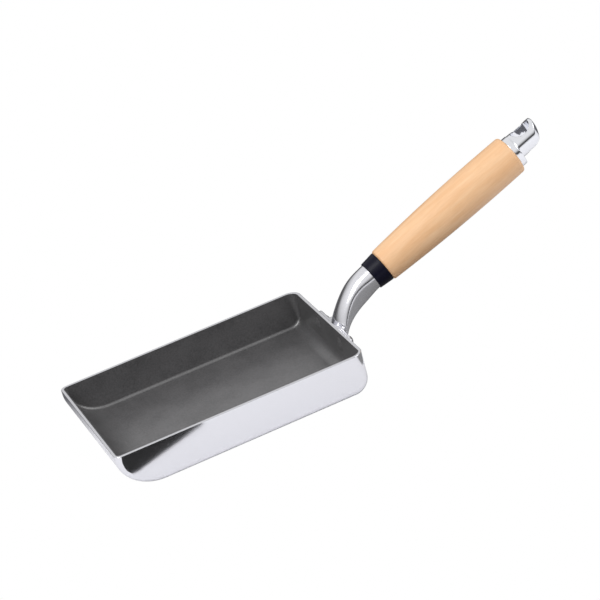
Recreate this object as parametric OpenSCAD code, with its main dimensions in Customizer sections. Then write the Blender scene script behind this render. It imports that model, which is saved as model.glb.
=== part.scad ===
// Rolled-omelette pan: a rectangular cast pan with a curved front ramp, a riveted bracket
// and a turned wooden grip that one long rod clamps between a black ring and a metal end cap.
// The origin is the centre of the flat base. X runs towards the handle and Z is up.

/* [Pan] */
// Length of the pan over its rim
pan_l = 185; // [160:1:210]
// Width of the pan over its rim
pan_w = 135; // [110:1:160]
// Height of the rim above the hob
pan_h = 30; // [26:1:45]
// Thickness of the walls
wall_t = 2.2; // [1.6:0.1:3]
// Thickness of the floor
floor_t = 3.8; // [2.5:0.1:5]
// How far the side walls and the handle wall lean in between rim and base
wall_lean = 1.7; // [0.5:0.1:3]
// Length of the curved ramp at the front
ramp_l = 30; // [20:1:45]
// Height of the curved ramp at the front
ramp_h = 26; // [16:1:26]
// Rounding under the handle wall, outside
heel_r = 12; // [6:0.5:12]
// Rounding of the lower side edges, outside, at the front
edge_front_r = 4.3; // [3:0.1:6]
// Rounding of the lower side edges, outside, at the handle end
edge_back_r = 6; // [3:0.1:6]
// Rounding of the lower side edges, inside
edge_inner_r = 3; // [1.5:0.1:4]
// Corner radius of the rim at the front, seen from above
corner_front_r = 5; // [4:0.5:9]
// Corner radius of the rim at the handle end, seen from above
corner_back_r = 9; // [5:0.5:14]
// Thickness of the non-stick lining
lining_t = 0.3; // [0.1:0.05:0.5]

/* [Rivets] */
// Distance between the two rivets
rivet_pitch = 43; // [40:1:50]
// Depth of the rivets below the rim
rivet_drop = 10; // [9:0.5:11]
// Diameter of a rivet shank
rivet_d = 5; // [4:0.5:6]
// Diameter of the low head inside the pan
inner_head_d = 10; // [8:0.5:11]
// Height of the low head inside the pan
inner_head_h = 1.4; // [1:0.1:2.5]
// Diameter of the domed head on the bracket
outer_head_d = 9; // [7:0.5:10]
// Height of the domed head on the bracket
outer_head_h = 3.2; // [1.5:0.1:3.5]

/* [Bracket] */
// Width of the riveted plate
plate_w = 64; // [58:1:70]
// Height of the riveted plate
plate_h = 13; // [12:0.5:14]
// Thickness of the riveted plate
plate_t = 4; // [2.5:0.1:5]
// Width of the boss that the arm grows from
boss_w = 25; // [18:1:27]
// How far the boss stands out of the plate
boss_out = 2; // [1:0.5:5]
// Width of the arm at its root
root_w = 28; // [20:1:30]
// Height of the arm's flat side at its root
root_side = 3.4; // [2:0.2:6]
// Height of the crown on top of the arm, above its flat sides
crown_h = 4.6; // [2:0.2:6]
// How much the arm is drawn in at its middle, each side
waist = 0.5; // [0:0.1:1.5]
// How far the arm sags below its centre line at its middle
sag = 0.6; // [0:0.1:1]
// Diameter of the arm where it meets the ring
arm_end_d = 19.5; // [18:0.5:21]
// Height of the arm's centre line above the hob where it enters the plate
root_z = 15; // [13:0.5:18]
// Slope of the arm's centre line at its root, in degrees
root_slope = 68; // [60:1:75]
// Horizontal reach of the arm from root to ring
arm_reach = 34.8; // [30:0.2:45]
// Slope of the handle, in degrees
handle_tilt = 20.3; // [10:0.1:30]
// Diameter of the spigot that centres the ring and the grip
spigot_d = 13; // [11:0.5:14]
// Depth of the spigot inside the grip
spigot_grip = 6; // [3:0.5:10]

/* [Ring] */
// Length of the black ring
ring_l = 10.9; // [8:0.1:14]
// Diameter of the ring at the arm
ring_arm_d = 21.3; // [21:0.1:23]
// Diameter of the ring at the grip
ring_grip_d = 23.4; // [22:0.1:24]

/* [Grip] */
// Length of the wooden grip
grip_l = 120; // [100:1:140]
// Diameter of the grip at the ring
grip_front_d = 24.8; // [24:0.1:27]
// Largest diameter of the grip
grip_d = 30.4; // [28:0.1:34]
// Distance of the thickest place from the ring
grip_belly = 90; // [60:1:95]
// Rounding of the grip's two ends
grip_round = 2; // [0.5:0.1:3]

/* [Rod] */
// Diameter of the clamping rod
rod_d = 6; // [5:0.5:6]
// Depth of the rod in the bracket
rod_in_arm = 14; // [10:1:16]

/* [End cap] */
// Diameter of the cap's flange
flange_d = 24; // [22:0.5:26]
// Thickness of the cap's flange
flange_t = 4.5; // [4:0.1:6]
// Diameter of the round tongue behind the flange
tongue_d = 19; // [18:0.5:20]
// Distance of the hanging slot's centre from the grip
slot_pos = 15; // [14.5:0.5:18]
// Width of the hanging slot
slot_w = 13; // [8:0.5:13]
// Length of the hanging slot
slot_l = 15.5; // [14:0.5:16]
// Metal left between the slot and the tip
tip_wall = 2.9; // [2:0.1:5]
// Height of the rounding under the tip
tip_under_h = 17.5; // [8:0.5:17.5]
// Length of the rounding under the tip
tip_under_l = 20; // [10:0.5:20]
// Rounding on top of the tip
tip_top_r = 1.5; // [1:0.5:3]
// Diameter of the boss that goes into the grip
cap_boss_d = 12; // [10:0.5:13]
// Depth of the boss in the grip
cap_boss_l = 6; // [4:0.5:10]

/* [Hidden] */

// Facets of a full turn on the smooth shells, and of their small roundings
arc_fn = 64;
edge_fn = 24;
// Steps along the arm, points around it, and steps along the grip's arc
arm_steps = 22;
arm_sides = 40;
grip_steps = 24;
// Share of the arm's length over which its crown grows, and over which it turns boxy
crown_full = 0.8;
square_full = 0.7;
// Clearance of a part that is pushed into or over another, on the radius
fit_gap = 0.1;
// Clearance round the rod's thread, on the radius
thread_gap = 0.03;
// Clearance round the rod in the grip, on the radius
rod_gap = 0.5;
// Length left empty behind the rod in each blind hole
blind_gap = 1;
// Metal between the rod's hole and the hanging slot
slot_web = 2;
// How far the root of the arm's centre line lies inside the plate's outer face
root_sink = 1;
// Extra length of a cutting tool past the face it leaves
over = 1;
// Thickness of the slices that a shell is stretched over
slice = 0.01;

lean_angle = atan(wall_lean / pan_h);
// Each rounding stays within its wall, and an edge takes at most half of the round it follows
ramp_rise = min(ramp_h, pan_h - 2);
heel = min(heel_r, pan_h - rivet_drop - plate_h / 2 - 0.5);
edge_back = min(edge_back_r, heel / 2);
edge_inner = min(edge_inner_r, (heel - floor_t) / 2);

// Centre line of the arm: an arc that starts at the root and runs into the handle's axis
root_x = pan_l / 2 + plate_t - root_sink;
bend_r = arm_reach / (sin(root_slope) - sin(handle_tilt));
bend_x = root_x + bend_r * sin(root_slope);
bend_z = root_z - bend_r * cos(root_slope);
arm_end_x = bend_x - bend_r * sin(handle_tilt);
arm_end_z = bend_z + bend_r * cos(handle_tilt);

// Places along the handle's axis, counted from the end of the arm
grip_start = ring_l;
grip_end = ring_l + grip_l;
slot_centre = grip_end + slot_pos;
tip_end = slot_centre + slot_l / 2 + tip_wall;
rod_cap_end = slot_centre - slot_l / 2 - slot_web - blind_gap;
rod_l = rod_in_arm + rod_cap_end;
under_h = min(tip_under_h, tongue_d - tip_top_r);
// The tongue is raised so that its top lies level with the flange
tongue_up = (flange_d - tongue_d) / 2 - 0.2;

// Inward lean of a wall at height z
function lean_at(z) = wall_lean * (1 - z / pan_h);

// Level distance from the centre of an ellipse with half axes rx and rz to the leaning wall that
// it touches
function tangent_reach(rx, rz) = norm([rx * cos(lean_angle), rz * sin(lean_angle)]) / cos(lean_angle);

// Distance from the pan's middle to the centre of a side edge of radius e, on a floor at base
function edge_y(half_w, base, e) = half_w - lean_at(base + e) - tangent_reach(e, e);

// Radius of a ball that caps a head of diameter d and height h
function cap_radius(d, h) = (d * d / 4 + h * h) / (2 * h);

// Quarter of a ring about Y, from its front to its lowest point, centred on the origin.
// rx and rz are its outer half axes and e is the radius of its own round section.
module edge_arc(rx, rz, e) {
    scale([rx / rz, 1, 1])
        rotate([90, 0, 0])
            rotate_extrude(angle = 90, start = 180, $fn = arc_fn)
                translate([rz - e, 0])
                    circle(e, $fn = edge_fn);
}

// Convex form of the pan: inset is how far its walls lie inside the outer walls, base is the
// height of its lowest face, and top is the height that it reaches.
module pan_form(inset, base, top, edge_f, edge_b) {
    half_l = pan_l / 2 - inset;
    half_w = pan_w / 2 - inset;
    corner_f = corner_front_r - inset;
    corner_b = corner_back_r - inset;
    top_y = half_w - lean_at(top);
    hull() {
        for (side = [-1, 1]) {
            translate([corner_f - half_l, side * (top_y - corner_f), top - slice])
                cylinder(r = corner_f, h = slice, $fn = arc_fn);
            translate([half_l - lean_at(top) - corner_b, side * (top_y - corner_b), top - slice])
                cylinder(r = corner_b, h = slice, $fn = arc_fn);
            translate([ramp_l - pan_l / 2, side * edge_y(half_w, base, edge_f), ramp_rise])
                edge_arc(ramp_l - inset, ramp_rise - base, edge_f);
            translate([half_l - lean_at(heel) - tangent_reach(heel - inset, heel - base),
                       side * edge_y(half_w, base, edge_b), heel])
                mirror([1, 0, 0])
                    edge_arc(heel - inset, heel - base, edge_b);
        }
    }
}

// Hollow of the bare casting, and the hollow that is left inside the lining
module bare_hollow() {
    pan_form(wall_t, floor_t, pan_h + over, edge_inner, edge_inner);
}

module lined_hollow() {
    pan_form(wall_t + lining_t, floor_t + lining_t, pan_h + over,
             edge_inner - lining_t, edge_inner - lining_t);
}

// Puts its children on the outer face of the handle wall, level with the rivets:
// X points out of the wall and Z up along it
module on_handle_wall() {
    translate([pan_l / 2 - lean_at(pan_h - rivet_drop), 0, pan_h - rivet_drop])
        rotate([0, lean_angle, 0])
            children();
}

// Puts its children on the handle's axis: X runs along the grip from the end of the arm
module on_handle_axis() {
    translate([arm_end_x, 0, arm_end_z])
        rotate([0, -handle_tilt, 0])
            children();
}

// Cylinder along X from x = a to x = b
module bar_x(d, a, b) {
    translate([a, 0, 0])
        rotate([0, 90, 0])
            cylinder(d = d, h = b - a, $fn = arc_fn);
}

// Holes for both rivets through whatever lies from x = a to x = b on the handle wall
module rivet_holes(a, b) {
    on_handle_wall()
        for (side = [-1, 1])
            translate([0, side * rivet_pitch / 2, 0])
                bar_x(rivet_d + 2 * fit_gap, a, b);
}

// Round head on the plane x = 0, a slice of a ball, pointing to +X
module domed_head(d, h) {
    ball = cap_radius(d, h);
    rotate([0, 90, 0])
        rotate_extrude($fn = arc_fn)
            intersection() {
                square([d / 2, h]);
                translate([0, h - ball])
                    circle(ball, $fn = 2 * arc_fn);
            }
}

// Cast pan body: walls, ramp and floor in one piece
module pan_body() {
    color([0.80, 0.80, 0.83])
        difference() {
            pan_form(0, 0, pan_h, edge_front_r, edge_back);
            bare_hollow();
            rivet_holes(-wall_t - over, over);
        }
}

// Dark non-stick lining that covers the inside up to the rim
module nonstick_lining() {
    color([0.22, 0.22, 0.23])
        difference() {
            bare_hollow();
            lined_hollow();
            translate([-pan_l, -pan_w, pan_h])
                cube([2 * pan_l, 2 * pan_w, 2 * over]);
            rivet_holes(-wall_t - lining_t - over, 0);
        }
}

// Half width of the arm, half height of its flat sides, height of its crown and its sag, where t
// is 0 at the ring and 1 at the root
function arm_half_w(t) = arm_end_d / 2 + (root_w - arm_end_d) / 2 * pow(t, 3) - waist * sin(180 * t);
function arm_half_h(t) = root_side / 2 + (arm_end_d - root_side) / 2 * pow((1 + cos(180 * t)) / 2, 1.25);
function arm_crown(t) = crown_h * pow(sin(90 * min(1, t / crown_full)), 2);
function arm_sag(t) = sag * sin(180 * t);
// Squareness of the section: 2 is round, more is boxier
function arm_power(t) = 2 + 4 * pow(sin(90 * min(1, t / square_full)), 2);

// Points round the arm at t: a superellipse square to the centre line, crowned on its upper side
function arm_ring(t) = [
    for (j = [0 : arm_sides - 1])
        let (turn = 360 * j / arm_sides,
             slope = handle_tilt + t * (root_slope - handle_tilt),
             power = arm_power(t),
             size = pow(pow(abs(cos(turn)), power) + pow(abs(sin(turn)), power), -1 / power),
             across = size * cos(turn),
             rise = size * sin(turn),
             away = bend_r + arm_half_h(t) * rise - arm_sag(t)
                 + arm_crown(t) * (1 - across * across) * (1 + rise) / 2)
        [bend_x - away * sin(slope), arm_half_w(t) * across, bend_z + away * cos(slope)]];

// Curved arm from the ring down to the plate
module arm() {
    points = [for (k = [0 : arm_steps]) each arm_ring(k / arm_steps)];
    last = arm_steps * arm_sides;
    ends = [[for (j = [arm_sides - 1 : -1 : 0]) j], [for (j = [0 : arm_sides - 1]) last + j]];
    walls = [
        for (k = [0 : arm_steps - 1], j = [0 : arm_sides - 1])
            let (a = k * arm_sides + j,
                 b = k * arm_sides + (j + 1) % arm_sides)
            each [[a, b, a + arm_sides], [b, b + arm_sides, a + arm_sides]]];
    polyhedron(points, concat(ends, walls), convexity = 4);
}

// Space inside the handle wall's outer face, which trims the root of the arm
module behind_wall_face() {
    on_handle_wall()
        translate([-root_w, -root_w, -pan_h])
            cube([root_w, 2 * root_w, 2 * pan_h]);
}

// Plate with round ends that lies flat on the handle wall
module plate() {
    on_handle_wall()
        rotate([90, 0, 90])
            linear_extrude(plate_t) {
                square([plate_w - plate_h, plate_h], center = true);
                for (side = [-1, 1])
                    translate([side * (plate_w - plate_h) / 2, 0])
                        circle(d = plate_h, $fn = arc_fn);
            }
}

// Boss on the plate, rounded on its outer corners, that carries the arm
module boss() {
    corner = 3;
    on_handle_wall()
        translate([0, 0, -plate_h / 2])
            linear_extrude(plate_h) {
                translate([0, -boss_w / 2])
                    square([plate_t + boss_out - corner, boss_w]);
                translate([0, corner - boss_w / 2])
                    square([plate_t + boss_out, boss_w - 2 * corner]);
                for (side = [-1, 1])
                    translate([plate_t + boss_out - corner, side * (boss_w / 2 - corner)])
                        circle(corner, $fn = edge_fn * 2);
            }
}

// Cast bracket: riveted plate, boss, curved arm and the spigot for the ring and the grip
module handle_bracket() {
    color([0.78, 0.78, 0.80])
        difference() {
            union() {
                plate();
                boss();
                difference() {
                    arm();
                    behind_wall_face();
                }
                on_handle_axis()
                    bar_x(spigot_d, -over, grip_start + spigot_grip);
            }
            rivet_holes(-over, plate_t + over);
            on_handle_axis()
                bar_x(rod_d + 2 * thread_gap, -rod_in_arm - blind_gap, grip_start + spigot_grip + over);
        }
}

// One rivet: low head inside the pan, shank through wall and plate, domed head outside
module rivet(side) {
    inner_face = -(wall_t + lining_t) * cos(lean_angle);
    color([0.72, 0.72, 0.74])
        on_handle_wall()
            translate([0, side * rivet_pitch / 2, 0]) {
                bar_x(rivet_d, inner_face - inner_head_h / 2, plate_t + outer_head_h / 2);
                translate([plate_t, 0, 0])
                    domed_head(outer_head_d, outer_head_h);
                translate([inner_face, 0, 0])
                    mirror([1, 0, 0])
                        domed_head(inner_head_d, inner_head_h);
            }
}

module rivet_left() {
    rivet(-1);
}

module rivet_right() {
    rivet(1);
}

// Black ring that keeps the heat of the bracket off the wood
module insulating_ring() {
    color([0.10, 0.10, 0.13])
        on_handle_axis()
            difference() {
                rotate([0, 90, 0])
                    cylinder(d1 = ring_arm_d, d2 = ring_grip_d, h = ring_l, $fn = arc_fn);
                bar_x(spigot_d + 2 * fit_gap, -over, ring_l + over);
            }
}

// Radius of the arc that the grip's side follows, and of the grip at a distance from the ring
grip_swell = (grip_d - grip_front_d) / 2;
belly_r = (grip_belly * grip_belly + grip_swell * grip_swell) / (2 * grip_swell);
function grip_radius(x) = grip_d / 2 - belly_r + sqrt(belly_r * belly_r - (x - grip_belly) * (x - grip_belly));

// Half section of the grip: one long arc with a bevel at each end
module grip_outline() {
    span = grip_l - 2 * grip_round;
    side = [for (k = [0 : grip_steps])
        let (x = grip_round + span * k / grip_steps)
        [grip_radius(x), x]];
    polygon(concat([[0, 0], [grip_radius(0) - grip_round, 0]], side,
                   [[grip_radius(grip_l) - grip_round, grip_l], [0, grip_l]]));
}

// Turned wooden grip, bored for the rod and for the spigot and the boss that centre it
module wooden_grip() {
    color([0.87, 0.68, 0.47])
        on_handle_axis()
            translate([grip_start, 0, 0])
                difference() {
                    rotate([90, 0, 90])
                        rotate_extrude($fn = arc_fn)
                            grip_outline();
                    bar_x(rod_d + 2 * rod_gap, -over, grip_l + over);
                    bar_x(spigot_d + 2 * fit_gap, -over, spigot_grip + fit_gap);
                    bar_x(cap_boss_d + 2 * fit_gap, grip_l - cap_boss_l - fit_gap, grip_l + over);
                }
}

// Long rod that pulls the end cap and the bracket together
module clamping_rod() {
    color([0.62, 0.62, 0.64])
        on_handle_axis()
            bar_x(rod_d, -rod_in_arm, rod_cap_end);
}

// Side of the tongue: level on top, with a small round on the upper tip and a large one below
module tongue_side() {
    bottom = -tongue_d / 2;
    length = tip_end - grip_end;
    difference() {
        translate([0, bottom])
            square([length, tongue_d]);
        translate([length - tip_under_l, bottom])
            scale([tip_under_l / under_h, 1])
                corner_waste(under_h);
        translate([length - tip_top_r, -bottom])
            mirror([0, 1])
                corner_waste(tip_top_r);
    }
}

// What a rounding of radius r takes off a corner that points to +X and -Y
module corner_waste(r) {
    difference() {
        translate([0, -over])
            square([r + over, r + over]);
        translate([0, r])
            circle(r, $fn = 2 * arc_fn);
    }
}

// Tongue of the cap: a round bar with a shaped side, ended by a half turn round the slot
module tongue() {
    tip_r = tip_end - slot_centre;
    intersection() {
        bar_x(tongue_d, 0, tip_end - grip_end);
        rotate([90, 0, 0])
            translate([0, 0, -tongue_d])
                linear_extrude(2 * tongue_d)
                    tongue_side();
        union() {
            translate([slot_pos, 0, -tongue_d])
                cylinder(r = tip_r, h = 2 * tongue_d, $fn = arc_fn);
            translate([0, -tongue_d, -tongue_d])
                cube([slot_pos, 2 * tongue_d, 2 * tongue_d]);
        }
    }
}

// Hanging slot, cut square through the tongue
module hanging_slot() {
    reach = (slot_l - slot_w) / 2;
    translate([slot_pos, 0, -tongue_d]) {
        for (side = [-1, 1])
            translate([side * reach, 0, 0])
                cylinder(d = slot_w, h = 2 * tongue_d, $fn = arc_fn);
        translate([-reach, -slot_w / 2, 0])
            cube([2 * reach, slot_w, 2 * tongue_d]);
    }
}

// End cap: flange on the grip, tongue with the hanging slot, boss with the rod's thread
module end_cap() {
    color([0.82, 0.83, 0.85])
        on_handle_axis()
            translate([grip_end, 0, 0])
                difference() {
                    union() {
                        bar_x(flange_d, 0, flange_t);
                        bar_x(cap_boss_d, -cap_boss_l, over);
                        translate([0, 0, tongue_up])
                            tongue();
                    }
                    hanging_slot();
                    bar_x(rod_d + 2 * thread_gap, -cap_boss_l - over, rod_cap_end + blind_gap - grip_end);
                }
}

pan_body();
nonstick_lining();
handle_bracket();
rivet_left();
rivet_right();
insulating_ring();
wooden_grip();
clamping_rod();
end_cap();
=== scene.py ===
"""Looks of the rolled-omelette pan: fine surfaces, materials, studio and camera around its solids."""
import math

import bpy
import numpy as np
from mathutils import Matrix, Vector


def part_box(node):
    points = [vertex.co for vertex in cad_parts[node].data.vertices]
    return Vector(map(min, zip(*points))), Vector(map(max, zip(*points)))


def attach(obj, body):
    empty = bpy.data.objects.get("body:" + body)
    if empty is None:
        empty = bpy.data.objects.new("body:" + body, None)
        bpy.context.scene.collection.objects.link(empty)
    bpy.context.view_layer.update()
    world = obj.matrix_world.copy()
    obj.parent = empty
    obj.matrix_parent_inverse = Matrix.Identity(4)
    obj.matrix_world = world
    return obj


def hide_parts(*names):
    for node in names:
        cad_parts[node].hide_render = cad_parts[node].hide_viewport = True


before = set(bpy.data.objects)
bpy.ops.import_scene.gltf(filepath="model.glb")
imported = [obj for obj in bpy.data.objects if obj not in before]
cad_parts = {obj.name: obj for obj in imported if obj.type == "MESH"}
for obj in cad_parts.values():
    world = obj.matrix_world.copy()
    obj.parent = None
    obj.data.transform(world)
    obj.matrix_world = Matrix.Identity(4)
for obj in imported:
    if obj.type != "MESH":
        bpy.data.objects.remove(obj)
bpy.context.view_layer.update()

# Sizes are in millimetres here, and a mesh is made in metres
MM = 0.001


def box_mm(node):
    """Lowest and highest corner of a CAD node in millimetres."""
    low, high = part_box(node)
    return np.array(low) / MM, np.array(high) / MM


# Pan, measured on its solids
PAN_HIGH = box_mm("pan_body")[1]
HALF_L = PAN_HIGH[0]
HALF_W = PAN_HIGH[1]
RIM_Z = PAN_HIGH[2]
WALL = HALF_W - box_mm("nonstick_lining")[1][1]
FLOOR = box_mm("nonstick_lining")[0][2]
LINING = 0.3
# Rounding of the lining's rim as a share of its thickness, and its clearance from the casting
COAT_ROUND = 0.4
COAT_GAP = 0.01
WALL_LEAN = 1.7
LEAN = math.atan(WALL_LEAN / RIM_Z)
RAMP_L = 30.0
RAMP_RISE = 26.0
HEEL = 12.0
RIM_ROUND = 0.45
# Radii of the lower side edges outside and inside, and of the rim's corners seen from above
EDGE_FRONT, EDGE_BACK, EDGE_INNER = 4.3, 6.0, 3.0
CORNER_FRONT, CORNER_BACK = 5.0, 9.0

# Handle axis: it starts where the arm meets the ring
TILT = math.radians(20.3)
RING_LOW, RING_HIGH = box_mm("insulating_ring")
AXIS = np.array([math.cos(TILT), 0.0, math.sin(TILT)])
UP = np.array([-math.sin(TILT), 0.0, math.cos(TILT)])
SIDE = np.array([0.0, 1.0, 0.0])
RING_L = 10.9
RING_ARM_R = 21.3 / 2
RING_GRIP_R = RING_HIGH[1]
RING_BORE_R = 6.6
RING_EDGE = 0.4
# The ring's lowest corner belongs to its small end, and its highest to its large end
AXIS_START = np.array([RING_LOW[0] + RING_ARM_R * math.sin(TILT), 0.0,
                       RING_LOW[2] + RING_ARM_R * math.cos(TILT)])
GRIP_L = 120.0
GRIP_R = box_mm("wooden_grip")[1][1]
GRIP_FRONT_R = 24.8 / 2
GRIP_BELLY = 90.0
GRIP_ROUND = 2.0
GRIP_BORE_R = 3.5

# Arm: an arc that runs into the handle's axis
ARM_BEND = 60.0
ROOT_SLOPE = math.radians(68.0)
ARM_END_R = 9.75
ROOT_HALF_W = 14.0
ROOT_HALF_H = 1.7
CROWN = 4.6
WAIST = 0.5
SAG = 0.6
# Shares of the arm's length over which its crown grows and it turns boxy, and how both run
CROWN_FULL = 0.8
SQUARE_FULL = 0.7
THINNING = 1.25
ROUND_POWER = 2
BOXY_POWER = 6
# Shares of its length that the arm runs on into the ring and into the plate
ARM_IN_RING = 0.02
ARM_IN_PLATE = 0.04
# The arm's root ends this far inside the handle wall
ROOT_IN_WALL = 0.2

# Rivets on the leaning handle wall
PLATE_T = 4.0
PLATE_H = 13.0
PLATE_EDGE = 0.8
BOSS_W = 25.0
BOSS_OUT = 2.0
BOSS_INSET = 0.1
BOSS_CORNER = 1.0
BOSS_EDGE = 0.9
RIVET_DROP = 10.0
RIVET_Z = RIM_Z - RIVET_DROP
RIVET_Y = abs(box_mm("rivet_right")[0][1] + box_mm("rivet_right")[1][1]) / 2
SHANK_R = 2.5
INNER_R, INNER_H = 5.0, 1.4
OUTER_R, OUTER_H = 4.5, 3.2
# The coat stands this much proud of the inner heads
HEAD_COAT = 0.04
# Half angle of the small disc that closes a dome at its top
TOP_ANGLE = 0.02

# Size of the cells that the cap is rebuilt from, and passes that soften its edges
CAP_CELL = 0.35
CAP_SOFTENING = 6

# Where the floor's painted shade starts behind the pan, and where it is darkest: it stands in for the pan's
# shadow seen in reflections
SHADE_PAINTED_FROM, SHADE_PAINTED_TO = 30, 110

# Sides of the turned pieces
TURNS_FINE = 128
TURNS_RIVET = 64
TURNS_COAT = 48

# Sockets of a colour mix
MIX_A, MIX_B, MIX_RESULT = 6, 7, 2


def steps(low, high, count):
    """Evenly spaced values with both ends."""
    return np.linspace(low, high, count)


def unit(v):
    """Vectors scaled to length one along their last axis."""
    return v / np.linalg.norm(v, axis=-1, keepdims=True)


def make_piece(name, verts, faces, material, normals=None):
    """Mesh piece from points in millimetres; each face is turned to agree with its points' normals."""
    mesh = bpy.data.meshes.new(name)
    if normals is not None:
        faces = [turned(face, verts, normals) for face in faces]
    mesh.from_pydata((verts * MM).tolist(), [], [list(map(int, face)) for face in faces])
    mesh.validate()
    mesh.polygons.foreach_set("use_smooth", np.ones(len(mesh.polygons), bool))
    if normals is not None:
        mesh.normals_split_custom_set_from_vertices(normals.tolist())
    mesh.materials.append(material)
    piece = bpy.data.objects.new(name, mesh)
    bpy.context.scene.collection.objects.link(piece)
    return piece


def turned(face, verts, normals):
    """The face with its corners in the order whose normal agrees with the points' normals."""
    corners = verts[list(face)]
    following = np.roll(corners, -1, axis=0)
    area = np.cross(corners, following).sum(axis=0)
    if area @ normals[list(face)].sum(axis=0) < 0:
        return tuple(face)[::-1]
    return tuple(face)


def grid_faces(index, closed=False):
    """Four-cornered faces over a two-dimensional array of point numbers."""
    if closed:
        index = np.concatenate([index, index[:, :1]], axis=1)
    a, b = index[:-1, :-1].ravel(), index[:-1, 1:].ravel()
    c, d = index[1:, 1:].ravel(), index[1:, :-1].ravel()
    return list(zip(a, b, c, d))


def lathe(profile, normals_2d, start, axis, side, turns, bored):
    """Closed surface of revolution: profile rows are (distance along axis, radius).

    A bored one runs back from its last row to its first, and any other has a disc at each end.
    """
    up = np.cross(axis, side)
    angle = steps(0, 2 * math.pi, turns + 1)[:-1]
    out = np.cos(angle)[:, None] * side + np.sin(angle)[:, None] * up
    verts = start + profile[:, :1, None] * axis + profile[:, 1:, None] * out
    normals = normals_2d[:, :1, None] * axis + normals_2d[:, 1:, None] * out
    index = np.arange(verts.shape[0] * turns).reshape(verts.shape[0], turns)
    faces = grid_faces(index, True)
    if bored:
        faces += grid_faces(index[[-1, 0]], True)
    else:
        faces += [tuple(index[0]), tuple(index[-1])]
    return verts.reshape(-1, 3), faces, normals.reshape(-1, 3)


def profile_normals(profile):
    """Normals of a lathe profile, to the left of its direction of travel."""
    along = np.gradient(profile, axis=0)
    return unit(np.stack([-along[:, 1], along[:, 0]], axis=1))


def pan_profile(inset, base, edges, top):
    """Side view of a pan surface from the front rim over ramp, floor and heel to the back rim.

    Returns the points (x, z), their outward normals and the radius of the rounding that leads
    into the side walls. Ramp and heel are quarter ellipses: x = cx -/+ rx cos t, z = cz - rz sin t.
    """
    edge_front, edge_back = edges
    corner_front, corner_back = CORNER_FRONT - inset, CORNER_BACK - inset
    slope = math.tan(LEAN)
    ramp_x = RAMP_L - HALF_L
    ramp_rx, ramp_rz = RAMP_L - inset, RAMP_RISE - base
    heel_rx, heel_rz = HEEL - inset, HEEL - base
    reach = math.hypot(heel_rx * math.cos(LEAN), heel_rz * math.sin(LEAN)) / math.cos(LEAN)
    heel_x = HALF_L - inset - slope * (RIM_Z - HEEL) - reach
    wall_normal = np.array([math.cos(LEAN), -math.sin(LEAN)])
    rows = []
    for z in steps(top, RAMP_RISE, 6)[:-1]:
        share = (z - RAMP_RISE) / (RIM_Z - RAMP_RISE)
        rows.append((-HALF_L + inset, z, -1, 0, edge_front + share * (corner_front - edge_front)))
    for t in steps(0, math.pi / 2, 48):
        rows.append((ramp_x - ramp_rx * math.cos(t), RAMP_RISE - ramp_rz * math.sin(t),
                     -math.cos(t) / ramp_rx, -math.sin(t) / ramp_rz, edge_front))
    for share in steps(0, 1, 24)[1:-1]:
        rows.append((ramp_x + share * (heel_x - ramp_x), base, 0, -1,
                     edge_front + share * (edge_back - edge_front)))
    last = math.atan2(wall_normal[0] * heel_rx, -wall_normal[1] * heel_rz)
    for t in steps(0, last, 24):
        rows.append((heel_x + heel_rx * math.sin(t), HEEL - heel_rz * math.cos(t),
                     math.sin(t) / heel_rx, -math.cos(t) / heel_rz, edge_back))
    low_z = rows[-1][1]
    for share in steps(0, 1, 10)[1:]:
        z = low_z + share * (top - low_z)
        rows.append((HALF_L - inset - slope * (RIM_Z - z), z, *wall_normal,
                     edge_back + share * (corner_back - edge_back)))
    rows = np.array(rows)
    return rows[:, :2], unit(rows[:, 2:4]), rows[:, 4]


def pan_surface(inset, base, edges, top):
    """Grid of points and outward normals over ramp, floor and heel, rounded into the side walls.

    Across the pan each row is flat up to a rolled edge: point = centre + r d, where d turns from
    the profile's normal n to the side wall's normal m by d = (sin(A - a) n + sin(a) m) / sin(A).
    """
    points, flat, radius = pan_profile(inset, base, edges, top)
    rows = len(points)
    normal = np.stack([flat[:, 0], np.zeros(rows), flat[:, 1]], axis=1)
    wall = np.array([0.0, math.cos(LEAN), -math.sin(LEAN)])
    whole = np.arccos(np.clip(normal @ wall, -1, 1))[:, None]
    share = steps(0, 1, 15)
    turn = (np.sin(whole * (1 - share))[..., None] * normal[:, None]
            + np.sin(whole * share)[..., None] * wall) / np.sin(whole)[..., None]
    core = np.stack([points[:, 0], np.zeros(rows), points[:, 1]], axis=1) - radius[:, None] * normal
    core_y = HALF_W - inset + ((core[:, 2] - RIM_Z) * math.sin(LEAN) - radius) / math.cos(LEAN)
    edge = core[:, None] + radius[:, None, None] * turn
    edge[..., 1] += core_y[:, None]
    across = steps(-1, 1, 19)[1:-1]
    middle = np.repeat((core + radius[:, None] * normal)[:, None], len(across), axis=1)
    middle[..., 1] = core_y[:, None] * across
    flip = np.array([1, -1, 1])
    grid = np.concatenate([(edge * flip)[:, ::-1], middle, edge], axis=1)
    turns = np.concatenate([(turn * flip)[:, ::-1], np.repeat(normal[:, None], len(across), axis=1), turn],
                           axis=1)
    grid[[0, -1], :, 2] = top
    return grid, unit(turns)


def rim_loop(index):
    """Point numbers once round the rim of a grid: along its first row and back along its last."""
    return np.concatenate([index[0], index[-1][::-1]])


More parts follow.
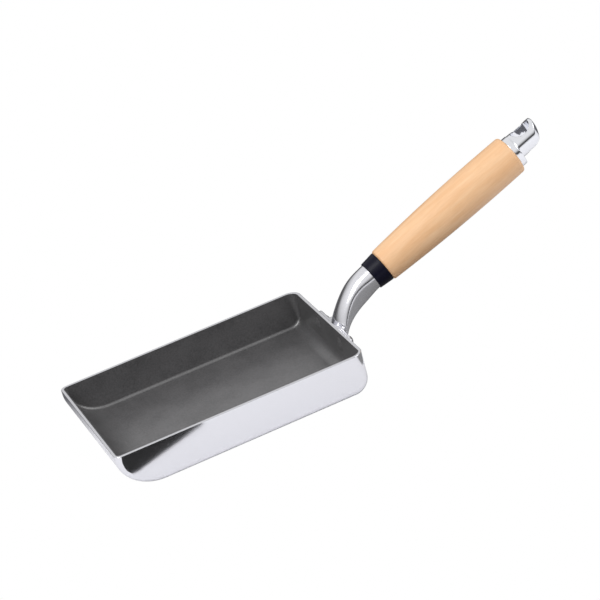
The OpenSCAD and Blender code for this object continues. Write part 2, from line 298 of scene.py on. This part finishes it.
def shell(outer, inner, edge):
    """Closed shell between an outer and an inner pan surface, with a rim rounded by edge."""
    grid_o, normal_o = outer
    grid_i, normal_i = inner
    count = grid_o.shape[0] * grid_o.shape[1]
    index_o = np.arange(count).reshape(grid_o.shape[:2])
    index_i = index_o + count
    verts = [grid_o.reshape(-1, 3), grid_i.reshape(-1, 3)]
    normals = [normal_o.reshape(-1, 3), -normal_i.reshape(-1, 3)]
    faces = grid_faces(index_o) + grid_faces(index_i)
    for index in (index_o, index_i):
        faces.append(tuple(index[:, 0]))
        faces.append(tuple(index[:, -1]))
    loop_o, loop_i = rim_loop(index_o), rim_loop(index_i)
    every = np.concatenate(verts)
    start, end = every[loop_o], every[loop_i]
    plan = np.concatenate(normals)[loop_o] * np.array([1, 1, 0])
    plan = unit(plan)
    width = np.linalg.norm((end - start)[:, :2], axis=1, keepdims=True)
    loops = [loop_o]
    total = 2 * count
    turns = steps(0, math.pi / 2, 7)[1:]
    rounds = [(edge * (1 - math.cos(t)), edge * math.sin(t), math.cos(t), math.sin(t)) for t in turns]
    rounds += [(-edge * (1 - math.cos(t)), edge * math.sin(t), -math.cos(t), math.sin(t))
               for t in turns[::-1]]
    for inward, rise, level, upward in rounds:
        share = inward / width if inward >= 0 and level >= 0 else 1 + inward / width
        row = start + share * (end - start)
        row[:, 2] = start[:, 2] + rise
        verts.append(row)
        normals.append(level * plan + upward * np.array([0, 0, 1]))
        loops.append(np.arange(total, total + len(row)))
        total += len(row)
    loops.append(loop_i)
    faces += grid_faces(np.stack(loops), True)
    return np.concatenate(verts), faces, unit(np.concatenate(normals))


def dome_rows(radius, height, count):
    """Spherical cap from its foot to its top: rows of (distance, radius, normal along, normal out)."""
    ball = (radius ** 2 + height ** 2) / (2 * height)
    turn = steps(math.asin(radius / ball), TOP_ANGLE, count)
    return np.stack([height - ball * (1 - np.cos(turn)), ball * np.sin(turn), np.cos(turn), np.sin(turn)],
                    axis=1)


def rivet_coat(side):
    """Coat over the inner head of one rivet: a thin dome on the lining."""
    place, out, _ = wall_frame()
    dome = dome_rows(INNER_R + HEAD_COAT, INNER_H + HEAD_COAT, 12)
    face = place - (WALL + LINING) * out + side * RIVET_Y * SIDE
    return lathe(dome[:, :2], dome[:, 2:], face, -out, SIDE, TURNS_COAT, False)


def nodes_of(material):
    """Node tree pieces of a new material: its nodes, its links and its main shader."""
    material.use_nodes = True
    tree = material.node_tree
    return tree.nodes, tree.links, tree.nodes["Principled BSDF"]


def plain_metal(name, color, roughness):
    """Polished metal with a faint cloudiness in its gloss."""
    material = bpy.data.materials.new(name)
    nodes, links, shader = nodes_of(material)
    shader.inputs["Base Color"].default_value = (*color, 1)
    shader.inputs["Metallic"].default_value = 1
    place = nodes.new("ShaderNodeTexCoord")
    noise = nodes.new("ShaderNodeTexNoise")
    noise.inputs["Scale"].default_value = 90
    noise.inputs["Detail"].default_value = 4
    spread = nodes.new("ShaderNodeMapRange")
    spread.inputs["To Min"].default_value = roughness * 0.8
    spread.inputs["To Max"].default_value = roughness * 1.25
    links.new(place.outputs["Object"], noise.inputs["Vector"])
    links.new(noise.outputs["Fac"], spread.inputs["Value"])
    links.new(spread.outputs["Result"], shader.inputs["Roughness"])
    return material


def nonstick_material():
    """Dark coating: fine mottling in colour and a grainy bump."""
    material = bpy.data.materials.new("nonstick")
    nodes, links, shader = nodes_of(material)
    place = nodes.new("ShaderNodeTexCoord")
    fine = nodes.new("ShaderNodeTexNoise")
    fine.inputs["Scale"].default_value = 900
    fine.inputs["Detail"].default_value = 3
    blotch = nodes.new("ShaderNodeTexNoise")
    blotch.inputs["Scale"].default_value = 60
    blotch.inputs["Detail"].default_value = 5
    both = nodes.new("ShaderNodeMath")
    both.operation = "MULTIPLY_ADD"
    both.inputs[1].default_value = 0.6
    ramp = nodes.new("ShaderNodeValToRGB")
    ramp.color_ramp.elements[0].position = 0.35
    ramp.color_ramp.elements[0].color = (0.020, 0.020, 0.021, 1)
    ramp.color_ramp.elements[1].position = 0.95
    ramp.color_ramp.elements[1].color = (0.085, 0.083, 0.085, 1)
    bump = nodes.new("ShaderNodeBump")
    bump.inputs["Strength"].default_value = 0.6
    bump.inputs["Distance"].default_value = 0.0002
    shader.inputs["Roughness"].default_value = 0.34
    shader.inputs["IOR"].default_value = 2.0
    links.new(place.outputs["Object"], fine.inputs["Vector"])
    links.new(place.outputs["Object"], blotch.inputs["Vector"])
    links.new(blotch.outputs["Fac"], both.inputs[0])
    links.new(fine.outputs["Fac"], both.inputs[2])
    links.new(both.outputs["Value"], ramp.inputs["Fac"])
    links.new(ramp.outputs["Color"], shader.inputs["Base Color"])
    links.new(fine.outputs["Fac"], bump.inputs["Height"])
    links.new(bump.outputs["Normal"], shader.inputs["Normal"])
    return material


def beech_material():
    """Turned beech: long faint grain along the handle with short darker flecks."""
    material = bpy.data.materials.new("beech")
    nodes, links, shader = nodes_of(material)
    place = nodes.new("ShaderNodeTexCoord")
    along = nodes.new("ShaderNodeMapping")
    along.vector_type = "TEXTURE"
    along.inputs["Rotation"].default_value = (0, -TILT, 0)
    along.inputs["Scale"].default_value = (9, 1, 1)
    grain = nodes.new("ShaderNodeTexNoise")
    grain.inputs["Scale"].default_value = 260
    grain.inputs["Detail"].default_value = 5
    grain.inputs["Distortion"].default_value = 0.3
    flecks = nodes.new("ShaderNodeTexNoise")
    flecks.inputs["Scale"].default_value = 1500
    flecks.inputs["Detail"].default_value = 2
    ramp = nodes.new("ShaderNodeValToRGB")
    ramp.color_ramp.elements[0].position = 0.3
    ramp.color_ramp.elements[0].color = (0.80, 0.46, 0.23, 1)
    ramp.color_ramp.elements[1].position = 0.7
    ramp.color_ramp.elements[1].color = (0.87, 0.56, 0.32, 1)
    darker = nodes.new("ShaderNodeMix")
    darker.data_type = "RGBA"
    darker.blend_type = "MULTIPLY"
    darker.inputs["Factor"].default_value = 0.12
    shader.inputs["Roughness"].default_value = 0.45
    shader.inputs["Coat Weight"].default_value = 0.15
    shader.inputs["Coat Roughness"].default_value = 0.3
    links.new(place.outputs["Object"], along.inputs["Vector"])
    links.new(along.outputs["Vector"], grain.inputs["Vector"])
    links.new(along.outputs["Vector"], flecks.inputs["Vector"])
    links.new(grain.outputs["Fac"], ramp.inputs["Fac"])
    links.new(ramp.outputs["Color"], darker.inputs[MIX_A])
    links.new(flecks.outputs["Fac"], darker.inputs[MIX_B])
    links.new(darker.outputs[MIX_RESULT], shader.inputs["Base Color"])
    return material


def resin_material():
    """Smooth near-black resin with a navy tint and a faint moulded grain."""
    material = bpy.data.materials.new("black_resin")
    nodes, links, shader = nodes_of(material)
    shader.inputs["Base Color"].default_value = (0.003, 0.003, 0.011, 1)
    shader.inputs["Roughness"].default_value = 0.32
    shader.inputs["Specular IOR Level"].default_value = 0.15
    place = nodes.new("ShaderNodeTexCoord")
    noise = nodes.new("ShaderNodeTexNoise")
    noise.inputs["Scale"].default_value = 1400
    bump = nodes.new("ShaderNodeBump")
    bump.inputs["Strength"].default_value = 0.08
    bump.inputs["Distance"].default_value = 0.0001
    links.new(place.outputs["Object"], noise.inputs["Vector"])
    links.new(noise.outputs["Fac"], bump.inputs["Height"])
    links.new(bump.outputs["Normal"], shader.inputs["Normal"])
    return material


PAN_METAL = plain_metal("pan_metal", (0.78, 0.78, 0.81), 0.11)
BRACKET_METAL = plain_metal("bracket_metal", (0.80, 0.80, 0.83), 0.17)
RIVET_METAL = plain_metal("rivet_metal", (0.72, 0.72, 0.74), 0.25)
CHROME = plain_metal("cap_chrome", (0.88, 0.89, 0.92), 0.07)
ROD_STEEL = plain_metal("rod_steel", (0.60, 0.60, 0.62), 0.30)
NONSTICK = nonstick_material()
BEECH = beech_material()
RESIN = resin_material()


def finish_piece(piece, slot, *nodes):
    """Puts a new piece on the body in place of its CAD nodes."""
    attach(piece, "root")
    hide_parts(*nodes)


def pan_pieces():
    """Casting and lining, each a closed shell between two pan surfaces."""
    low_top = RIM_Z - RIM_ROUND
    outside = pan_surface(0, 0, (EDGE_FRONT, EDGE_BACK), low_top)
    hollow = pan_surface(WALL, FLOOR, (EDGE_INNER, EDGE_INNER), low_top)
    verts, faces, normals = shell(outside, hollow, RIM_ROUND)
    body = make_piece("pan_shell", verts, faces, PAN_METAL, normals)
    finish_piece(body, "pan_metal", "pan_body")
    coat_round = LINING * COAT_ROUND
    top = RIM_Z - coat_round
    gap = COAT_GAP
    inset = WALL + LINING
    back_edge, front_edge = EDGE_INNER - gap, EDGE_INNER - LINING
    back = pan_surface(WALL + gap, FLOOR + gap, (back_edge, back_edge), top)
    front = pan_surface(inset, FLOOR + LINING, (front_edge, front_edge), top)
    heads = [rivet_coat(side) for side in (-1, 1)]
    verts, faces, normals = merge([shell(back, front, coat_round), *heads])
    lining = make_piece("lining", verts, faces, NONSTICK, normals)
    finish_piece(lining, "nonstick", "nonstick_lining")


def arm_surface():
    """Arm as rings along its arc: a superellipse that turns boxy, with a crown on its upper side.

    A point lies half_w a to the side and half_h r - sag + crown (1 - a^2) (1 + r) / 2 outwards,
    where (a, r) runs round |a|^p + |r|^p = 1.
    """
    bend = AXIS_START - ARM_BEND * UP
    share = steps(-ARM_IN_RING, 1 + ARM_IN_PLATE, 70)
    turn = steps(0, 2 * math.pi, TURNS_FINE + 1)[:-1]
    verts = []
    for t in share:
        q = min(max(t, 0), 1)
        slope = TILT + t * (ROOT_SLOPE - TILT)
        half_w = ARM_END_R + (ROOT_HALF_W - ARM_END_R) * q ** 3 - WAIST * math.sin(math.pi * q)
        fade = (1 + math.cos(math.pi * q)) / 2
        half_h = ROOT_HALF_H + (ARM_END_R - ROOT_HALF_H) * fade ** THINNING
        crown = CROWN * math.sin(math.pi / 2 * min(1, q / CROWN_FULL)) ** 2
        boxy = math.sin(math.pi / 2 * min(1, q / SQUARE_FULL)) ** 2
        power = ROUND_POWER + (BOXY_POWER - ROUND_POWER) * boxy
        reach = (np.abs(np.cos(turn)) ** power + np.abs(np.sin(turn)) ** power) ** (-1 / power)
        across, rise = reach * np.cos(turn), reach * np.sin(turn)
        away = half_h * rise - SAG * math.sin(math.pi * q) + crown * (1 - across ** 2) * (1 + rise) / 2
        out = np.array([-math.sin(slope), 0, math.cos(slope)])
        verts.append(bend + half_w * across[:, None] * SIDE + (ARM_BEND + away)[:, None] * out)
    verts = np.array(verts)
    normals = np.cross(np.gradient(verts, axis=0), np.roll(verts, -1, 1) - np.roll(verts, 1, 1))
    centres = verts.mean(axis=1, keepdims=True)
    if ((verts - centres) * normals).sum() < 0:
        normals = -normals
    place, wall_out, _ = wall_frame()
    too_deep = np.minimum((verts - place) @ wall_out + ROOT_IN_WALL, 0)
    verts = verts - too_deep[..., None] * wall_out
    index = np.arange(verts.shape[0] * verts.shape[1]).reshape(verts.shape[:2])
    faces = grid_faces(index, True) + [tuple(index[0]), tuple(index[-1])]
    return verts.reshape(-1, 3), faces, unit(normals.reshape(-1, 3))


def wall_frame():
    """Place on the handle wall, outside and level with the rivets, with its normal and upward line."""
    place = np.array([HALF_L - math.tan(LEAN) * (RIM_Z - RIVET_Z), 0, RIVET_Z])
    out = np.array([math.cos(LEAN), 0, -math.sin(LEAN)])
    up = np.array([math.sin(LEAN), 0, math.cos(LEAN)])
    return place, out, up


def slab(outline, outward, thickness, edge, place, out, up):
    """Plate on the handle wall from an outline (y, height): its far edge is rounded."""
    depth = [(0.0, 0.0, 1.0, 0.0), (0.0, thickness - edge, 1.0, 0.0)]
    depth += [(edge * (1 - math.cos(t)), thickness - edge + edge * math.sin(t), math.cos(t), math.sin(t))
              for t in steps(0, math.pi / 2, 9)[1:]]
    verts = []
    normals = []
    for inward, height, level, forward in depth:
        flat = outline - inward * outward
        verts.append(place + flat[:, :1] * SIDE + flat[:, 1:] * up + height * out)
        normals.append(level * (outward[:, :1] * SIDE + outward[:, 1:] * up) + forward * out)
    verts = np.array(verts)
    normals = np.array(normals)
    index = np.arange(verts.shape[0] * verts.shape[1]).reshape(verts.shape[:2])
    faces = grid_faces(index, True) + [tuple(index[0]), tuple(index[-1])]
    return verts.reshape(-1, 3), faces, normals.reshape(-1, 3)


def stadium(width, height, count=48):
    """Outline with round ends and its outward normals."""
    half = (width - height) / 2
    turn = steps(-math.pi / 2, math.pi / 2, count)
    right = np.stack([np.cos(turn), np.sin(turn)], axis=1)
    outward = np.concatenate([right, -right])
    middle = np.repeat([[half, 0], [-half, 0]], count, axis=0)
    return middle + height / 2 * outward, outward


def rounded_box(width, height, radius, count=8):
    """Outline of a rectangle with rounded corners and its outward normals."""
    rows = []
    for corner, (x, y) in enumerate([(1, -1), (1, 1), (-1, 1), (-1, -1)]):
        for t in steps(0, math.pi / 2, count) + (corner - 1) * math.pi / 2:
            rows.append((x * (width / 2 - radius), y * (height / 2 - radius), math.cos(t), math.sin(t)))
    rows = np.array(rows)
    return rows[:, :2] + radius * rows[:, 2:], rows[:, 2:]


def merge(parts):
    """Joins (points, faces, normals) triples into one."""
    verts, faces, normals = [], [], []
    total = 0
    for part in parts:
        verts.append(part[0])
        faces += [tuple(int(i) + total for i in face) for face in part[1]]
        normals.append(part[2])
        total += len(part[0])
    return np.concatenate(verts), faces, np.concatenate(normals)


def bracket_piece():
    """Riveted plate, boss and curved arm."""
    place, out, up = wall_frame()
    plate_low, plate_high = box_mm("handle_bracket")
    plate_w = plate_high[1] - plate_low[1]
    plate = slab(*stadium(plate_w, PLATE_H), PLATE_T, PLATE_EDGE, place, out, up)
    boss = slab(*rounded_box(BOSS_W, PLATE_H - BOSS_INSET, BOSS_CORNER), PLATE_T + BOSS_OUT, BOSS_EDGE,
                place, out, up)
    verts, faces, normals = merge([plate, boss, arm_surface()])
    bracket = make_piece("bracket", verts, faces, BRACKET_METAL, normals)
    finish_piece(bracket, "bracket_metal", "handle_bracket")


def grip_profile():
    """Side of the grip: one long arc with rounded ends."""
    swell = GRIP_R - GRIP_FRONT_R
    arc = (GRIP_BELLY ** 2 + swell ** 2) / (2 * swell)

    def radius(x):
        return GRIP_R - arc + np.sqrt(arc ** 2 - (x - GRIP_BELLY) ** 2)

    turn = steps(0, math.pi / 2, 10)
    low = np.stack([GRIP_ROUND * (1 - np.cos(turn)),
                    radius(GRIP_ROUND) - GRIP_ROUND * (1 - np.sin(turn))], axis=1)
    middle = steps(GRIP_ROUND, GRIP_L - GRIP_ROUND, 60)[1:-1]
    side = np.stack([middle, radius(middle)], axis=1)
    high = np.stack([GRIP_L - GRIP_ROUND * (1 - np.cos(turn[::-1])),
                     radius(GRIP_L - GRIP_ROUND) - GRIP_ROUND * (1 - np.sin(turn[::-1]))], axis=1)
    return np.concatenate([[[0.0, GRIP_BORE_R]], low, side, high, [[GRIP_L, GRIP_BORE_R]]])


def grip_piece():
    """Turned wooden grip."""
    profile = grip_profile()
    normals_2d = profile_normals(profile)
    normals_2d[[0, -1]] = [[-1, 0], [1, 0]]
    start = AXIS_START + RING_L * AXIS
    verts, faces, normals = lathe(profile, normals_2d, start, AXIS, SIDE, TURNS_FINE, True)
    grip = make_piece("grip", verts, faces, BEECH, normals)
    finish_piece(grip, "beech", "wooden_grip")


def cap_piece():
    """End cap: the solid's own form with its edges softened like a polished casting."""
    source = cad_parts["end_cap"]
    mesh = source.data.copy()
    piece = bpy.data.objects.new("cap", mesh)
    bpy.context.scene.collection.objects.link(piece)
    mesh.materials.clear()
    mesh.materials.append(CHROME)
    remesh = piece.modifiers.new("even", "REMESH")
    remesh.mode = "VOXEL"
    remesh.voxel_size = CAP_CELL * MM
    remesh.use_smooth_shade = True
    smooth = piece.modifiers.new("soft", "SMOOTH")
    smooth.factor = 0.5
    smooth.iterations = CAP_SOFTENING
    dg = bpy.context.evaluated_depsgraph_get()
    final = bpy.data.meshes.new_from_object(piece.evaluated_get(dg))
    piece.modifiers.clear()
    piece.data = final
    finish_piece(piece, "cap_chrome", "end_cap")


def ring_piece():
    """Tapered heat-proof ring with softened edges, bored for the spigot."""
    start_r, end_r, edge = RING_ARM_R, RING_GRIP_R, RING_EDGE
    turn = steps(0, math.pi / 2, 6)
    low = np.stack([edge * (1 - np.cos(turn)), start_r - edge * (1 - np.sin(turn))], axis=1)
    high = np.stack([RING_L - edge * (1 - np.cos(turn[::-1])), end_r - edge * (1 - np.sin(turn[::-1]))],
                    axis=1)
    side = np.stack([steps(edge, RING_L - edge, 8), steps(start_r, end_r, 8)], axis=1)[1:-1]
    profile = np.concatenate([[[0.0, RING_BORE_R]], low, side, high, [[RING_L, RING_BORE_R]]])
    normals_2d = profile_normals(profile)
    normals_2d[[0, -1]] = [[-1, 0], [1, 0]]
    verts, faces, normals = lathe(profile, normals_2d, AXIS_START, AXIS, SIDE, TURNS_FINE, True)
    ring = make_piece("ring", verts, faces, RESIN, normals)
    finish_piece(ring, "black_resin", "insulating_ring")


def rivet_piece(name, side, node):
    """One rivet: low head inside the pan, shank and domed head outside."""
    place, out, _ = wall_frame()
    back = -(WALL + LINING)
    inner = dome_rows(INNER_R, INNER_H, 10)[::-1] * [-1, 1, -1, 1] + [back, 0, 0, 0]
    shank = np.array([(back, SHANK_R, 0, 1), (PLATE_T, SHANK_R, 0, 1)])
    outer = dome_rows(OUTER_R, OUTER_H, 24) + [PLATE_T, 0, 0, 0]
    rows = np.concatenate([inner, shank, outer])
    start = place + side * RIVET_Y * SIDE
    verts, faces, normals = lathe(rows[:, :2], rows[:, 2:], start, out, SIDE, TURNS_RIVET, False)
    rivet = make_piece(name, verts, faces, RIVET_METAL, normals)
    finish_piece(rivet, "rivet_metal", node)


def dress_rod():
    """Material of the hidden rod, whose CAD shape stays."""
    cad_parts["clamping_rod"].material_slots[0].material = ROD_STEEL


def flat_piece(name, corners, material):
    """Flat studio piece from its corners in millimetres; it isn't part of the object."""
    mesh = bpy.data.meshes.new(name)
    mesh.from_pydata([tuple(c * MM for c in corner) for corner in corners], [], [tuple(range(len(corners)))])
    mesh.materials.append(material)
    piece = bpy.data.objects.new(name, mesh)
    bpy.context.scene.collection.objects.link(piece)
    return piece


def floor_material():
    """Floor with painted shade: bright in front and dark behind, standing in for the pan's shadow in
    reflections, and plain white to the camera.
    """
    material = bpy.data.materials.new("floor")
    nodes, links, shader = nodes_of(material)
    shader.inputs["Roughness"].default_value = 0.9
    place = nodes.new("ShaderNodeTexCoord")
    split = nodes.new("ShaderNodeSeparateXYZ")
    shade_fall = nodes.new("ShaderNodeMapRange")
    shade_fall.inputs["From Min"].default_value = SHADE_PAINTED_FROM * MM
    shade_fall.inputs["From Max"].default_value = SHADE_PAINTED_TO * MM
    shade = nodes.new("ShaderNodeMix")
    shade.data_type = "RGBA"
    shade.inputs[MIX_A].default_value = (0.78, 0.78, 0.80, 1)
    # The dark colour behind the pan is painted shade, standing in for the pan's shadow on the floor
    shade.inputs[MIX_B].default_value = (0.10, 0.10, 0.11, 1)
    links.new(place.outputs["Object"], split.inputs["Vector"])
    links.new(split.outputs["Y"], shade_fall.inputs["Value"])
    links.new(shade_fall.outputs["Result"], shade.inputs["Factor"])
    links.new(shade.outputs[MIX_RESULT], shader.inputs["Base Color"])
    white = nodes.new("ShaderNodeEmission")
    white.inputs["Color"].default_value = (1, 1, 1, 1)
    white.inputs["Strength"].default_value = 1.0
    seen = nodes.new("ShaderNodeLightPath")
    mix = nodes.new("ShaderNodeMixShader")
    links.new(seen.outputs["Is Camera Ray"], mix.inputs["Fac"])
    links.new(shader.outputs["BSDF"], mix.inputs[1])
    links.new(white.outputs["Emission"], mix.inputs[2])
    links.new(mix.outputs["Shader"], nodes["Material Output"].inputs["Surface"])
    return material


def card_material(name, grey):
    """Plain matt card of one grey."""
    material = bpy.data.materials.new(name)
    shader = nodes_of(material)[2]
    shader.inputs["Base Color"].default_value = (grey, grey, grey, 1)
    shader.inputs["Roughness"].default_value = 1
    return material


def room():
    """World light of a studio: dark near the horizon, bright above, white to the camera."""
    world = bpy.data.worlds.new("studio")
    bpy.context.scene.world = world
    world.use_nodes = True
    nodes, links = world.node_tree.nodes, world.node_tree.links
    place = nodes.new("ShaderNodeTexCoord")
    split = nodes.new("ShaderNodeSeparateXYZ")
    ramp = nodes.new("ShaderNodeValToRGB")
    stops = [(0.0, 0.10), (0.10, 0.05), (0.22, 0.16), (0.34, 0.62), (0.55, 0.85), (1.0, 0.80)]
    while len(ramp.color_ramp.elements) < len(stops):
        ramp.color_ramp.elements.new(0.5)
    for element, (height, grey) in zip(ramp.color_ramp.elements, stops):
        element.position = height
        element.color = (grey, grey, grey * 1.01, 1)
    seen = nodes.new("ShaderNodeLightPath")
    white = nodes.new("ShaderNodeMix")
    white.data_type = "RGBA"
    white.inputs[MIX_B].default_value = (1, 1, 1, 1)
    links.new(place.outputs["Generated"], split.inputs["Vector"])
    tilt = nodes.new("ShaderNodeMapRange")
    tilt.inputs["From Min"].default_value = -1
    tilt.inputs["To Min"].default_value = 1.2
    tilt.inputs["To Max"].default_value = 0.8
    lit = nodes.new("ShaderNodeVectorMath")
    lit.operation = "SCALE"
    links.new(split.outputs["Z"], ramp.inputs["Fac"])
    links.new(split.outputs["X"], tilt.inputs["Value"])
    links.new(ramp.outputs["Color"], lit.inputs[0])
    links.new(tilt.outputs["Result"], lit.inputs["Scale"])
    links.new(lit.outputs["Vector"], white.inputs[MIX_A])
    links.new(seen.outputs["Is Camera Ray"], white.inputs["Factor"])
    links.new(white.outputs[MIX_RESULT], nodes["Background"].inputs["Color"])
    nodes["Background"].inputs["Strength"].default_value = 1.0


def lamp(name, place, aim, width, height, power):
    """Rectangular soft lamp at a place in millimetres, turned to its aim."""
    light = bpy.data.lights.new(name, "AREA")
    light.shape = "RECTANGLE"
    light.size = width * MM
    light.size_y = height * MM
    light.energy = power
    piece = bpy.data.objects.new(name, light)
    piece.location = Vector(place) * MM
    piece.rotation_mode = "QUATERNION"
    piece.rotation_quaternion = (Vector(aim) - Vector(place)).to_track_quat("-Z", "Y")
    bpy.context.scene.collection.objects.link(piece)


def studio():
    """Pale floor, a dark card in front of the pan's near corner, a soft room and two lamps."""
    reach = 20000
    flat_piece("floor", [(-reach, -reach, 0), (reach, -reach, 0), (reach, reach, 0), (-reach, reach, 0)],
               floor_material())
    card_front = -HALF_W - 90
    card_left = -HALF_L + 3
    cards = {"dark_card": (0.005, [(card_left, card_front), (-20, card_front), (-20, -HALF_W - 43),
                                   (-HALF_L + 16, -HALF_W - 21), (card_left, -HALF_W - 21)]),
             "grey_card": (0.22, [(124, -330), (235, -330), (235, 110), (124, 110)])}
    for name, (grey, outline) in cards.items():
        card = flat_piece(name, [(x, y, 1) for x, y in outline], card_material(name, grey))
        card.visible_camera = False
    room()
    lamp("key", (-700, -400, 1100), (0, 0, 0), 800, 800, 9)
    lamp("fill", (1000, -600, 900), (100, 0, 0), 800, 800, 5)


def camera():
    """Camera at the photograph's viewing angle."""
    azimuth, elevation, roll = math.radians(-13.99), math.radians(24.84), math.radians(-16.81)
    distance, right_shift, up_shift = 1946.57, -55.26, -74.67
    focal_px, picture_px, sensor = 2800.65, 600, 36.0
    half_pixel = 0.5
    back = np.array([math.sin(azimuth) * math.cos(elevation), -math.cos(azimuth) * math.cos(elevation),
                     math.sin(elevation)])
    right = unit(np.cross([0, 0, 1], back))
    up = np.cross(back, right)
    right, up = (math.cos(roll) * right + math.sin(roll) * up,
                 math.cos(roll) * up - math.sin(roll) * right)
    place = (distance * back - right_shift * right - up_shift * up) * MM
    data = bpy.data.cameras.new("camera")
    data.sensor_width = sensor
    data.lens = focal_px / picture_px * sensor
    data.clip_start, data.clip_end = 0.1, 100
    data.shift_x, data.shift_y = -half_pixel / picture_px, half_pixel / picture_px
    eye = bpy.data.objects.new("camera", data)
    turn = Matrix((right, up, back)).transposed().to_4x4()
    eye.matrix_world = Matrix.Translation(place) @ turn
    bpy.context.scene.collection.objects.link(eye)
    bpy.context.scene.camera = eye


camera()
studio()
dress_rod()
pan_pieces()
bracket_piece()
rivet_piece("rivet_l", 1 if box_mm("rivet_left")[0][1] > 0 else -1, "rivet_left")
rivet_piece("rivet_r", 1 if box_mm("rivet_right")[0][1] > 0 else -1, "rivet_right")
ring_piece()
grip_piece()
cap_piece()

bpy.context.scene.view_settings.view_transform = "Standard"
bpy.context.view_layer.update()
